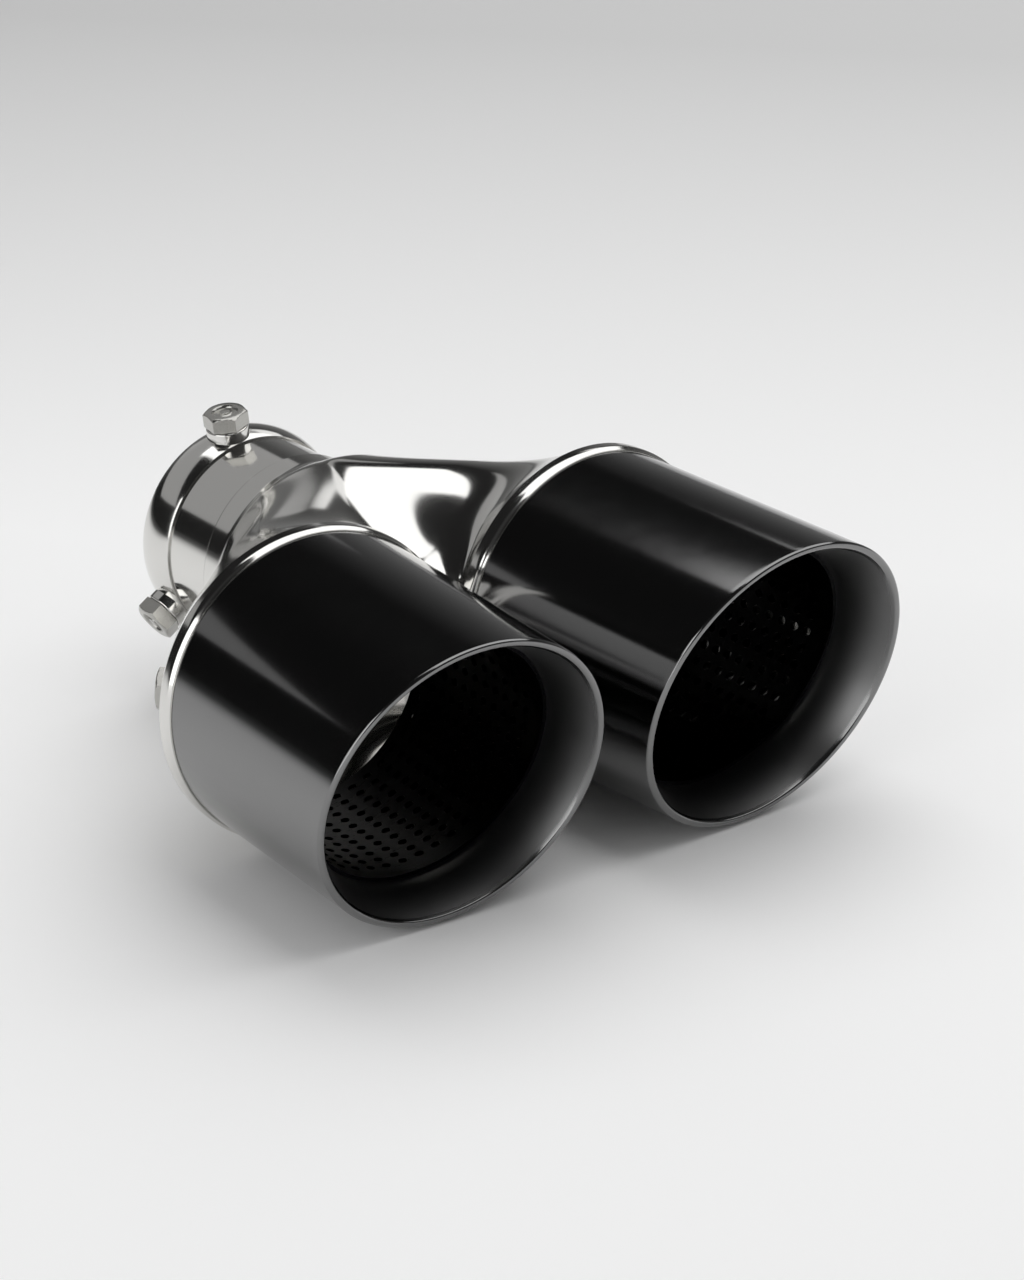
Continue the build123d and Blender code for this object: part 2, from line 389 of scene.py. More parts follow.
def screw_steel():
    """Turned stainless steel: bright, with a softer gloss than the body.

    Its tool marks, really about 0.1 mm apart, are drawn 1.4 mm wide, as finer ones would not show.
    """
    return metal("Turned stainless", colours().screw, (1.43, 3.0, 0.16, 0.3), (1.43, 3.0, 0.12, 0.1))[0]


def weld_steel():
    """Dressed weld: bright steel with the low ripples, 2.5 mm long, that grinding leaves of the bead."""
    return metal("Dressed weld", colours().screw, (2.5, 2.0, 0.12, 0.3), (2.5, 2.0, 0.3, 0.2))[0]


MAKERS = {
    "polished_steel": mirror_steel,
    "black_chrome": black_chrome,
    "inner_steel": shaded_tube_steel,
    "screw_steel": screw_steel,
    "weld_steel": weld_steel,
}


def finish_of(slot):
    """The material of a record slot, made once."""
    known = bpy.context.scene.get("exhaust_" + slot)
    if known and known in bpy.data.materials:
        return bpy.data.materials[known]
    material = MAKERS[slot]()
    bpy.context.scene["exhaust_" + slot] = material.name
    return material


def dress(name, slot):
    """Gives a CAD node that stays the material of its slot."""
    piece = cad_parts[name]
    piece.data.materials.clear()
    piece.data.materials.append(finish_of(slot))


def mark_sharp(mesh, angle=radians(32)):
    """Smooth faces, with sharp edges where two faces meet at more than an angle."""
    shape = bmesh.new()
    shape.from_mesh(mesh)
    for edge in shape.edges:
        edge.smooth = not (len(edge.link_faces) == 2 and edge.calc_face_angle(0) > angle)
    for face in shape.faces:
        face.smooth = True
    shape.to_mesh(mesh)
    shape.free()


def add_piece(name, mesh, slot, *nodes):
    """Links a finished mesh as a piece that stands for CAD nodes."""
    mark_sharp(mesh)
    mesh.materials.clear()
    mesh.materials.append(finish_of(slot))
    piece = bpy.data.objects.new(name, mesh)
    bpy.context.scene.collection.objects.link(piece)
    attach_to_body(piece, BODY)
    if nodes:
        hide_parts(*nodes)
    return piece


def baked(mesh, add_modifiers):
    """Mesh with modifiers applied. add_modifiers gets the object that carries them."""
    holder = bpy.data.objects.new("holder", mesh)
    bpy.context.scene.collection.objects.link(holder)
    add_modifiers(holder)
    graph = bpy.context.evaluated_depsgraph_get()
    result = bpy.data.meshes.new_from_object(holder.evaluated_get(graph))
    bpy.data.objects.remove(holder)
    return result


def mesh_of(name, points, faces):
    """Mesh from points and faces, with its doubles merged and its faces pointing outwards."""
    shape = bmesh.new()
    corners = [shape.verts.new(point) for point in points]
    for face in faces:
        shape.faces.new([corners[i] for i in face])
    bmesh.ops.remove_doubles(shape, verts=shape.verts, dist=1e-7)
    bmesh.ops.recalc_face_normals(shape, faces=shape.faces)
    mesh = bpy.data.meshes.new(name)
    shape.to_mesh(mesh)
    shape.free()
    return mesh


def turned(name, outline, steps=192, bend=None):
    """Mesh turned about Z from a closed outline of (radius, height) points. bend moves each point."""
    count = len(outline)
    points = []
    for step in range(steps):
        angle = 2 * pi * step / steps
        for index, (radius, height) in enumerate(outline):
            point = Vector((radius * cos(angle), radius * sin(angle), height))
            points.append(bend(index, point) if bend else point)
    faces = []
    for step in range(steps):
        ahead = (step + 1) % steps
        for index in range(count):
            above = (index + 1) % count
            low, high = step * count, ahead * count
            faces.append((low + index, high + index, high + above, low + above))
    return mesh_of(name, points, faces)


def arc(centre, radius, start, end, steps):
    """Points of an arc, both ends included."""
    angles = [start + (end - start) * i / steps for i in range(steps + 1)]
    return [(centre[0] + radius * cos(a), centre[1] + radius * sin(a)) for a in angles]


def run(start, end, shares):
    """Points on a straight run at shares of its length."""
    return [(start[0] + (end[0] - start[0]) * s, start[1] + (end[1] - start[1]) * s) for s in shares]


def bow(start, elbow, end, steps):
    """Points of a bow that leaves start towards its elbow and comes from there to end, without both ends."""
    points = []
    for share in (i / steps for i in range(1, steps)):
        points += run(run(start, elbow, [share])[0], run(elbow, end, [share])[0], [share])
    return points


def placed(mesh, matrix):
    """The mesh moved by a matrix."""
    mesh.transform(matrix)
    return mesh


def inlet_frame():
    """Matrix that lays a shape drawn along Z on the inlet's axis, with its height along +Y."""
    return Matrix.Rotation(-pi / 2, 4, "X")


def shell_outline():
    """Sheet section of a tip as (radius, height) points, and how far each point follows the rim's lean."""
    t, b = tip_sizes(), body_sizes()
    lip = (t.radius - t.lip, t.length - t.lip)
    cone = (t.tube_radius + b.gap, t.length - t.cone_depth)
    end = pi - t.flare
    rear = -b.overlap
    outside = run((t.radius, rear), (t.radius, lip[1]), (0.0, 0.006, 0.02, 0.25, 0.5, 0.75, 0.94, 0.985))
    rim = arc(lip, t.lip, 0, end, 28)
    elbow = (cone[0], rim[-1][1] - (rim[-1][0] - cone[0]) / tan(t.flare))
    corner, fold = 0.3 * MM, 0.15 * MM
    land = [cone, (cone[0], cone[1] - corner), (cone[0], cone[1] - t.land)]
    outer_land = cone[0] + t.wall
    inside = [(outer_land, cone[1] - t.land), (outer_land, cone[1])]
    inner_rim = arc((t.radius - t.wall - fold, lip[1] - t.wall), fold, end, 0, 6)
    back = [(t.radius - t.wall, lip[1] - t.lip), (t.radius - t.wall, rear)]
    front = rim + bow(rim[-1], elbow, cone, 14) + land + inside + inner_rim + [back[0]]
    shares = [max(0.0, (h - rear) / (lip[1] - rear)) for _, h in outside] + [1.0] * len(front) + [0.0]
    return outside + front + back[1:], shares


def lean_by(side, share, point):
    """The point slid along the tip's axis by its share of the rim's lean."""
    t = tip_sizes()
    return Vector((point.x, point.y, point.z + share * (side * t.toe * point.x + t.slope * point.y)))


def leaning(side, shares):
    """Function that slides each point of a turned outline by its share of a tip's lean."""
    return lambda index, point: lean_by(side, shares[index], point)


class EXHAUST_OT_shells(bpy.types.Operator):
    """Makes the slant-cut black shells with their rolled lips and inner cones"""

    bl_idname = "exhaust.shells"
    bl_label = "Outer shells"

    def execute(self, context):
        t = tip_sizes()
        cone_edge = t.radius - 2 * t.lip
        outline, shares = shell_outline()
        for name, side in SIDES:
            mesh = turned(name + "_shell", outline, steps=256, bend=leaning(side, shares))
            cone = mesh.attributes.new("cone", "FLOAT", "POINT")
            for vertex, share in zip(mesh.vertices, cone.data):
                share.value = float(vertex.co.xy.length < cone_edge)
            add_piece(name + "_shell", placed(mesh, tip_frame(side)), "black_chrome", name + "_outer_shell")
        return {"FINISHED"}


def cell_mesh(width, height, hole, sides=12):
    """Square sheet cell with a round hole, flat in XY, as a ring of quads from the square to the hole."""
    points = []
    for step in range(sides):
        angle = 2 * pi * (step + 0.5) / sides
        across, up = cos(angle), sin(angle)
        stretch = 1 / max(abs(across), abs(up))
        points.append((width / 2 * across * stretch, height / 2 * up * stretch, 0))
        points.append((hole * across, hole * up, 0))
    corners = [(sx * width / 2, sy * height / 2, 0) for sx, sy in ((1, 1), (-1, 1), (-1, -1), (1, -1))]
    first = len(points)
    points += corners
    faces = []
    for step in range(sides):
        a, b = 2 * step, 2 * ((step + 1) % sides)
        quarter = (step + 0.5) * 4 / sides
        turn = (step + 1.5) * 4 / sides
        corner = [c for c in range(4) if quarter < c + 0.5 < turn]
        edge = [a] + [first + c for c in corner] + [b]
        faces.append([*edge, b + 1, a + 1])
    return points, faces


def perforated_tree(cell):
    """Geometry nodes that tile a sheet with a pierced cell, Columns wide and Rows high."""
    tree = bpy.data.node_groups.new("Perforated sheet", "GeometryNodeTree")
    tree.interface.new_socket("Geometry", in_out="OUTPUT", socket_type="NodeSocketGeometry")
    tree.interface.new_socket("Geometry", in_out="INPUT", socket_type="NodeSocketGeometry")
    for label in ("Width", "Height"):
        tree.interface.new_socket(label, in_out="INPUT", socket_type="NodeSocketFloat")
    for label in ("Columns", "Rows"):
        tree.interface.new_socket(label, in_out="INPUT", socket_type="NodeSocketInt")
    tree.interface.new_socket("Material", in_out="INPUT", socket_type="NodeSocketMaterial")
    given = node(tree, "NodeGroupInput", (-900, 0)).outputs
    grid = node(
        tree,
        "GeometryNodeMeshGrid",
        (-600, 0),
        Size_X=given["Width"],
        Size_Y=given["Height"],
        Vertices_X=given["Columns"],
        Vertices_Y=given["Rows"],
    )
    source = node(tree, "GeometryNodeObjectInfo", (-600, -260), Object=cell)
    placed_cells = node(
        tree,
        "GeometryNodeInstanceOnPoints",
        (-300, 0),
        Points=grid.outputs["Mesh"],
        Instance=source.outputs["Geometry"],
    )
    real = node(tree, "GeometryNodeRealizeInstances", (0, 0), Geometry=placed_cells.outputs["Instances"])
    cells = real.outputs["Geometry"]
    joined = node(tree, "GeometryNodeMergeByDistance", (200, 0), Geometry=cells, Distance=1e-5)
    painted = node(
        tree,
        "GeometryNodeSetMaterial",
        (400, 0),
        Geometry=joined.outputs["Geometry"],
        Material=given["Material"],
    )
    node(tree, "NodeGroupOutput", (600, 0), Geometry=painted.outputs["Geometry"])
    return tree


def run_tree(tree, mesh, values):
    """Mesh that a geometry node tree makes with named input values."""

    def attach(holder):
        modifier = holder.modifiers.new("tree", "NODES")
        modifier.node_group = tree
        for item in tree.interface.items_tree:
            if item.item_type == "SOCKET" and item.in_out == "INPUT" and item.name in values:
                modifier[item.identifier] = values[item.name]

    return baked(mesh, attach)


def tube_front():
    """Height of a tube's front edge above the collar's front, along the tip's axis."""
    t = tip_sizes()
    return t.length - t.cone_depth - t.set_back


class EXHAUST_OT_tubes(bpy.types.Operator):
    """Makes the perforated tubes inside the tips and finishes the rings that hold them"""

    bl_idname = "exhaust.tubes"
    bl_label = "Perforated tubes"

    def execute(self, context):
        t = tip_sizes()
        around = 2 * pi * t.tube_radius
        high = tube_front() + t.tube_tail - t.plain_front - t.plain_rear
        width, height = around / t.columns, high / t.rows
        points, faces = cell_mesh(width, height, t.hole)
        cell = bpy.data.objects.new("cell", mesh_of("cell", points, faces))
        bpy.context.scene.collection.objects.link(cell)
        tree = perforated_tree(cell)
        values = {
            "Width": width * (t.columns - 1),
            "Height": height * (t.rows - 1),
            "Columns": t.columns,
            "Rows": t.rows,
            "Material": finish_of("inner_steel"),
        }
        sheet = run_tree(tree, bpy.data.meshes.new("sheet"), values)
        bpy.data.objects.remove(cell)
        bpy.data.node_groups.remove(tree)
        for name, side in SIDES:
            mesh = placed(rolled_tube(sheet, side), tip_frame(side))
            add_piece(name + "_perforated_tube", mesh, "inner_steel", name + "_inner_tube")
            dress(name + "_closing_ring", "inner_steel")
        return {"FINISHED"}


def rolled_tube(sheet, side):
    """The flat perforated sheet rolled round Z, lengthened by its plain ends and given its thickness."""
    t = tip_sizes()
    shape = bmesh.new()
    shape.from_mesh(sheet)
    low = min(v.co.y for v in shape.verts)
    high = max(v.co.y for v in shape.verts)
    for limit, reach in ((high, t.plain_front), (low, -t.plain_rear)):
        border = [e for e in shape.edges if all(abs(v.co.y - limit) < 1e-6 for v in e.verts)]
        grown = bmesh.ops.extrude_edge_only(shape, edges=border)
        for vertex in [g for g in grown["geom"] if isinstance(g, bmesh.types.BMVert)]:
            vertex.co.y += reach
    for vertex in shape.verts:
        angle = vertex.co.x / t.tube_radius
        along = vertex.co.y - low + t.plain_rear
        share = min(max(along / (tube_front() + t.tube_tail), 0), 1)
        round_axis = (t.tube_radius * cos(angle), t.tube_radius * sin(angle), along - t.tube_tail)
        vertex.co = lean_by(side, share, Vector(round_axis))
    bmesh.ops.remove_doubles(shape, verts=shape.verts, dist=2e-5)
    bmesh.ops.recalc_face_normals(shape, faces=shape.faces)
    mesh = bpy.data.meshes.new("rolled")
    shape.to_mesh(mesh)
    shape.free()

    def thicken(holder):
        solid = holder.modifiers.new("wall", "SOLIDIFY")
        solid.thickness = t.tube_wall
        solid.offset = -1

    return baked(mesh, thicken)


def blend_share(station, offset, radius):
    """How far the blend lifts the skin where the arms meet, and the height there, for one section."""
    b = body_sizes()
    reach = radius + b.blend
    middle = sqrt(max(reach**2 - offset**2, 0)) - b.blend
    fade = min(max((station - b.fade) / b.closing, 0.0), 1.0)
    middle *= sqrt(max(1 - (1 - fade) ** 2, 0))
    lift = sqrt(offset**2 + middle**2) - radius
    if station <= b.fade:
        lift = (offset - radius - b.web_gap) * ease((station - b.collar) / (b.fade - b.collar))
        middle = 0.0
    return max(lift, 0.0), middle


def skin_radius(angle, offset, radius, lift):
    """Distance from an arm's centre to the blended skin, at an angle round the arm."""
    width = 4 * lift
    low, high = radius, radius + lift + 1e-6
    if width < 1e-9:
        return radius
    for _ in range(HALVINGS):
        reach = (low + high) / 2
        own = reach - radius
        other = sqrt((reach * cos(angle) + 2 * offset) ** 2 + (reach * sin(angle)) ** 2) - radius
        part = max(width - abs(own - other), 0) / width
        value = min(own, other) - part * part * width / 4
        if value > 0:
            high = reach
        else:
            low = reach
    return (low + high) / 2


def skin_row(station, steps):
    """Points of the right half's skin across one station, from the middle's top round to its bottom."""
    matrix, turn = arm_frame(station)
    offset = matrix.translation.x / cos(turn)
    radius = arm_radius(station)
    lift, middle = blend_share(station, offset, radius)
    limit = atan2(middle, -offset) if middle > 0 else pi
    if offset < 1e-7:
        limit = pi / 2
    points = []
    for index in range(steps + 1):
        angle = limit * (1 - 2 * index / steps)
        reach = skin_radius(angle, offset, radius, lift)
        point = matrix @ Vector((reach * cos(angle), reach * sin(angle), 0))
        if index in (0, steps) and limit < pi:
            point.x = 0.0
        points.append(point)
    return points


def collar_row(depth, steps):
    """Points round the right collar at a depth behind its front edge, which is ground down to the tip."""
    matrix = tip_frame(1)
    b = body_sizes()
    radius = collar_radius() - b.dressed * (1 - ease(depth / b.dressing))
    angles = [pi * (1 - 2 * index / steps) for index in range(steps + 1)]
    return [matrix @ Vector((radius * cos(a), radius * sin(a), -depth)) for a in angles]


def body_skin(steps=150, pitch=0.8 * MM):
    """Outer skin of the Y body as one mesh."""
    b = body_sizes()
    arm = path_length() - b.collar
    count = round(arm / pitch)
    stations = [b.collar + arm * i / count for i in range(count + 1)]
    stations += [path_length() + b.socket * share for share in (0.06, 0.5, 0.95, 1.0)]
    rows = [collar_row(share * b.collar, steps) for share in (0.0, 0.07, 0.14, 0.21, 0.28, 0.6, 0.94)]
    rows += [skin_row(min(station, b.length), steps) for station in stations]
    shape = bmesh.new()
    for side in (1, -1):
        grid = [[shape.verts.new((side * p.x, p.y, p.z)) for p in row] for row in rows]
        for ahead, behind in zip(grid, grid[1:]):
            for index in range(steps):
                quad = [ahead[index], ahead[index + 1], behind[index + 1], behind[index]]
                shape.faces.new(quad if side > 0 else quad[::-1])
    bmesh.ops.remove_doubles(shape, verts=shape.verts, dist=2e-6)
    bmesh.ops.recalc_face_normals(shape, faces=shape.faces)
    mesh = bpy.data.meshes.new("y_body")
    shape.to_mesh(mesh)
    shape.free()
    return mesh


class EXHAUST_OT_body(bpy.types.Operator):
    """Makes the polished Y body as one smooth skin over its two halves, and the beads at its collars"""

    bl_idname = "exhaust.body"
    bl_label = "Y body"

    def execute(self, context):
        def thicken(holder):
            solid = holder.modifiers.new("wall", "SOLIDIFY")
            solid.thickness = body_sizes().wall
            solid.offset = -1
            solid.use_even_offset = True

        add_piece("y_body", baked(body_skin(), thicken), "polished_steel", *BODY_NODES)
        t = tip_sizes()
        for name, side in SIDES:
            outline = [(t.radius, 0.0)] + arc((t.radius, 0.0), t.bead, 0, pi / 2, 8)
            bead = placed(turned("bead", outline, steps=192), tip_frame(side))
            add_piece(name + "_bead", bead, "weld_steel", name + "_collar_weld")
        return {"FINISHED"}


def ring_outline():
    """Section of the clamp ring: a thin sheet rolled out to a soft bulge, with rounded edges."""
    b = body_sizes()
    inner = b.sleeve + b.gap
    half = b.ring / 2
    rise = b.ring_bulge - b.ring_edge
    radius = (half**2 + rise**2) / (2 * rise)
    spread = asin(half / radius)
    centre = (inner + b.ring_bulge - radius, -half)
    crown = arc(centre, radius, -spread, spread, 40)
    break_edge = 0.1 * MM
    return crown + [(inner + break_edge, 0.0), (inner, -break_edge), (inner, -b.ring)]


def sleeve_outline():
    """Section of the inlet sleeve, its mouth rounded over."""
    b = body_sizes()
    inner = b.sleeve - b.sleeve_wall
    edge = b.sleeve_wall / 2
    start = socket_end() - b.socket
    mouth = arc((inner + edge, -edge), edge, 0, pi, 12)
    outside = run((b.sleeve, start), (b.sleeve, -edge), (0.0, 0.02, 0.5, 0.9, 0.99))
    inside = run((inner, -edge), (inner, start), (0.01, 0.1, 0.5, 0.98, 1.0))
    return outside + mouth + inside


def clamp_top():
    """Height of the clamp bosses' tops above the inlet's axis."""
    b = body_sizes()
    return b.sleeve + b.gap + b.ring_bulge + screw_sizes().boss_height


class EXHAUST_OT_inlet(bpy.types.Operator):
    """Makes the drilled inlet sleeve and its clamp ring, and finishes the weld behind them"""

    bl_idname = "exhaust.inlet"
    bl_label = "Inlet"

    def execute(self, context):
        b, s = body_sizes(), screw_sizes()
        pins = []
        margin, hair = 2.25 * MM, 0.0002 * MM
        low, high = b.sleeve - b.sleeve_wall - margin, b.sleeve + margin
        outline = [(hair, low), (s.radius, low), (s.radius, high), (hair, high)]
        for angle in s.angles:
            place = Matrix.Translation((0, -s.set_back, 0)) @ Matrix.Rotation(pi / 2 - angle, 4, "Y")
            pin = bpy.data.objects.new("pin", placed(turned("pin", outline, steps=48), place))
            context.scene.collection.objects.link(pin)
            pins.append(pin)

        def drill(holder):
            for pin in pins:
                cut = holder.modifiers.new("hole", "BOOLEAN")
                cut.object = pin
                cut.operation = "DIFFERENCE"
                cut.solver = "EXACT"

        sleeve = baked(placed(turned("sleeve", sleeve_outline(), steps=224), inlet_frame()), drill)
        for pin in pins:
            bpy.data.objects.remove(pin)
        add_piece("sleeve", sleeve, "polished_steel", "inlet_sleeve")
        ring = placed(turned("ring", ring_outline(), steps=256), inlet_frame())
        add_piece("ring", ring, "polished_steel", "clamp_ring")
        dress("inlet_weld", "weld_steel")
        return {"FINISHED"}


def hexagon(angle, flats):
    """Radius of a hexagon at an angle."""
    return flats / 2 / cos((angle + pi / 6) % (pi / 3) - pi / 6)


def screw_mesh(depth, steps=72):
    """Hexagon screw with a chamfered, dished head, its head standing on height 0 and its thread below."""
    s = screw_sizes()
    apothem = s.flats / 2
    crown = apothem * 0.95  # radius at which the chamfer starts
    fall = 0.55  # drop of the chamfer for its reach outwards
    thread = 0.6 * MM
    rows = []

    def head_row(height):
        cone = crown + (s.head - height) / fall
        return [(min(hexagon(2 * pi * i / steps, s.flats), cone), height) for i in range(steps)]

    def round_row(radius, height):
        return [(radius, height)] * steps

    def thread_row(height):
        row = []
        for i in range(steps):
            phase = (height / s.pitch - i / steps) % 1.0
            row.append((s.radius - thread * abs(2 * phase - 1), height))
        return row

    threads = max(2, round(depth / s.pitch * 6))
    rows.append(round_row(0.0, -depth))
    rows += [thread_row(-depth + depth * i / threads) for i in range(threads)]
    rows.append(round_row(s.radius * 0.94, -0.02 * MM))
    # the head, from its washer face over the flats and the chamfer to the dish and its raised middle
    rows += [round_row(apothem * 0.93, 0.0), round_row(apothem * 0.94, 0.3 * MM), head_row(0.3 * MM)]
    rows += [head_row(s.head * share) for share in (0.2, 0.5, 0.66, 0.74, 0.8, 0.85, 0.9, 0.94, 0.97)]
    rows += [round_row(crown * 0.985, s.head), round_row(s.dish + 0.2 * MM, s.head)]
    floor = s.head - s.dish_depth
    rows += [round_row(s.dish, s.head - 0.15 * MM), round_row(s.dish - 0.35 * MM, floor + 0.1 * MM)]
    rows += [round_row(s.button + 0.5 * MM, floor), round_row(s.button, floor + 0.25 * MM)]
    rows += [round_row(s.button * 0.93, s.head - 0.2 * MM), round_row(s.button * 0.6, s.head - 0.08 * MM)]
    rows.append(round_row(0.0, s.head - 0.05 * MM))
    points = []
    for row in rows:
        for i, (radius, height) in enumerate(row):
            angle = 2 * pi * i / steps
            points.append((radius * cos(angle), radius * sin(angle), height))
    faces = []
    for j in range(len(rows) - 1):
        for i in range(steps):
            ahead = (i + 1) % steps
            faces.append((j * steps + i, j * steps + ahead, (j + 1) * steps + ahead, (j + 1) * steps + i))
    return mesh_of("screw", points, faces)


def boss_outline(radius, bore, low, high):
    """Section of a round boss with a rounded top edge and a screw hole."""
    edge, chamfer = 0.6 * MM, 0.3 * MM
    top = arc((radius - edge, high - edge), edge, 0, pi / 2, 6)
    return [(radius, low)] + top + [(bore + chamfer, high), (bore, high - chamfer), (bore, low)]


def outward_tree():
    """Geometry nodes that stand a copy of an object on each point, pointing away from the middle."""
    tree = bpy.data.node_groups.new("Round the clamp", "GeometryNodeTree")
    tree.interface.new_socket("Geometry", in_out="OUTPUT", socket_type="NodeSocketGeometry")
    tree.interface.new_socket("Geometry", in_out="INPUT", socket_type="NodeSocketGeometry")
    tree.interface.new_socket("Copied", in_out="INPUT", socket_type="NodeSocketObject")
    tree.interface.new_socket("Material", in_out="INPUT", socket_type="NodeSocketMaterial")
    given = node(tree, "NodeGroupInput", (-900, 0)).outputs
    source = node(tree, "GeometryNodeObjectInfo", (-700, -200), Object=given["Copied"])
    outward = node(tree, "GeometryNodeInputPosition", (-900, -400)).outputs["Position"]
    facing = node(tree, "FunctionNodeAlignRotationToVector", (-700, -400), {"axis": "Z"}, Vector=outward)
    copies = node(
        tree,
        "GeometryNodeInstanceOnPoints",
        (-400, 0),
        Points=given["Geometry"],
        Instance=source.outputs["Geometry"],
        Rotation=facing.outputs["Rotation"],
    )
    real = node(tree, "GeometryNodeRealizeInstances", (-200, 0), Geometry=copies.outputs["Instances"])
    painted = node(
        tree, "GeometryNodeSetMaterial", (0, 0), Geometry=real.outputs["Geometry"], Material=given["Material"]
    )
    node(tree, "NodeGroupOutput", (200, 0), Geometry=painted.outputs["Geometry"])
    return tree


def stand_round(mesh, radius, slot):
    """Copies of a mesh at the clamp screws' angles, at a radius from the inlet's axis."""
    s = screw_sizes()
    copied = bpy.data.objects.new("copied", mesh)
    bpy.context.scene.collection.objects.link(copied)
    tree = outward_tree()
    feet = bpy.data.meshes.new("feet")
    feet.from_pydata([(radius * cos(angle), radius * sin(angle), 0) for angle in s.angles], [], [])
    result = run_tree(tree, feet, {"Copied": copied, "Material": finish_of(slot)})
    bpy.data.objects.remove(copied)
    bpy.data.node_groups.remove(tree)
    place = Matrix.Translation((0, -s.set_back, 0)) @ Matrix.Rotation(pi / 2, 4, "X")
    return placed(result, place)


def flank_frame(side):
    """Matrix that stands a shape drawn along Z on the outer flank of an arm, turned towards the inlet."""
    s = screw_sizes()
    flank = arm_offset(s.flank_station) + sqrt(arm_radius(s.flank_station) ** 2 - s.flank_drop**2)
    out = Vector((side * cos(s.flank_turn), sin(s.flank_turn), 0))
    up = Vector((0, 0, 1))
    matrix = Matrix((up.cross(out), up, out)).transposed().to_4x4()
    matrix.translation = Vector((side * flank, tips_rear() + s.flank_station, -s.flank_drop))
    return matrix


def over_skin(point):
    """Height of a point over an arm's skin."""
    station = point.y - tips_rear()
    return hypot(abs(point.x) - arm_offset(station), point.z) - arm_radius(station)


def flank_boss(side):
    """Boss on the flank of an arm, its foot following the skin a little below its surface."""
    s = screw_sizes()
    place = flank_frame(side)
    sunk = -body_sizes().wall / 2
    mesh = turned("flank_boss", boss_outline(s.flank_boss, s.radius, -s.flank_boss, s.flank_height), steps=96)
    for vertex in mesh.vertices:
        if vertex.co.z > -s.flank_boss * 0.99:
            continue
        low, high = vertex.co.z, s.flank_height
        for _ in range(HALVINGS):
            vertex.co.z = (low + high) / 2
            if over_skin(place @ vertex.co) > sunk:
                high = vertex.co.z
            else:
                low = vertex.co.z
    return placed(mesh, place)


class EXHAUST_OT_screws(bpy.types.Operator):
    """Makes the hexagon screws and their bosses, round the clamp and on the flanks"""

    bl_idname = "exhaust.screws"
    bl_label = "Screws and bosses"

    def execute(self, context):
        b, s = body_sizes(), screw_sizes()
        depth = clamp_top() - (b.sleeve - b.sleeve_wall) - s.end_gap
        screws = stand_round(screw_mesh(depth), clamp_top(), "screw_steel")
        add_piece("clamp_screw_set", screws, "screw_steel", "clamp_screws")
        foot = b.sleeve + b.gap + 0.1 * MM - clamp_top()
        boss = turned("boss", boss_outline(s.boss, s.radius, foot, 0), steps=96)
        bosses = stand_round(boss, clamp_top(), "polished_steel")
        add_piece("clamp_boss_set", bosses, "polished_steel", "clamp_bosses")
        for name, side in SIDES:
            add_piece(name + "_flank_boss", flank_boss(side), "polished_steel", name + "_side_boss")
            seat = flank_frame(side) @ Matrix.Translation((0, 0, s.flank_height))
            screw = placed(screw_mesh(s.flank_depth), seat)
            add_piece(name + "_flank_screw", screw, "screw_steel", name + "_side_screw")
        return {"FINISHED"}


# Painted shade on the paper where the lamps' light falls off: the direction, where that starts and ends in
# metres, and the share that is left
PAINTED_FLOOR_SHADE = (
    ((1.0, 1.0, 0.0), 0.15, 1.0, 0.63),
    ((-0.57, 0.82, 0.0), 0.36, 0.95, 0.12),
)


def floor_finish():
    """Matt seamless paper: pale and without gloss, with painted shade that greys it towards the far right and
    behind.

    Its tooth is drawn 1.7 mm wide, coarser than real paper's, which would not show.
    """
    material, tree, shader = new_material("Pale studio paper", {"Roughness": 0.9})
    place = node(tree, "ShaderNodeTexCoord", (-900, 0))
    # Each fall is painted shade that darkens the paper's colour towards the far right and behind.
    falls = []
    for row, (direction, start, end, left) in enumerate(PAINTED_FLOOR_SHADE):
        high = 400 - 200 * row
        away = node(
            tree,
            "ShaderNodeVectorMath",
            (-700, high),
            {"operation": "DOT_PRODUCT"},
            i0=place.outputs["Object"],
            i1=direction,
        )
        fall = node(
            tree,
            "ShaderNodeMapRange",
            (-500, high),
            Value=away.outputs["Value"],
            From_Min=start,
            From_Max=end,
            To_Min=1.0,
            To_Max=left,
        )
        falls.append(fall.outputs["Result"])
    level = node(tree, "ShaderNodeMath", (-300, 300), {"operation": "MULTIPLY"}, i0=falls[0], i1=falls[1])
    shade = node(
        tree,
        "ShaderNodeVectorMath",
        (-100, 250),
        {"operation": "SCALE"},
        i0=colours().floor,
        Scale=level.outputs["Value"],
    )
    tree.links.new(shade.outputs["Vector"], shader.inputs["Base Color"])
    there = place.outputs["Object"]
    tooth = node(tree, "ShaderNodeTexNoise", (-600, -180), Vector=there, Scale=across(1.67), Detail=3.0)
    height = tooth.outputs["Fac"]
    bump = node(tree, "ShaderNodeBump", (-300, -180), Strength=0.02, Distance=0.2 * MM, Height=height)
    tree.links.new(bump.outputs["Normal"], shader.inputs["Normal"])
    return material


# The studio's walls where the metal mirrors them. Each fades along one axis of the view: start, end, levels
LOW_GLOW = ("Z", 0.0, 0.5, 0.18, 0.0)
RIGHT_SIDE = ("X", -0.1, 0.35, 0.0, 1.0)
FRONT_WALL = ("Y", -0.7, 0.0, 0.04, 0.015)
ROOM_FILL = 0.42  # what matt surfaces get from the walls


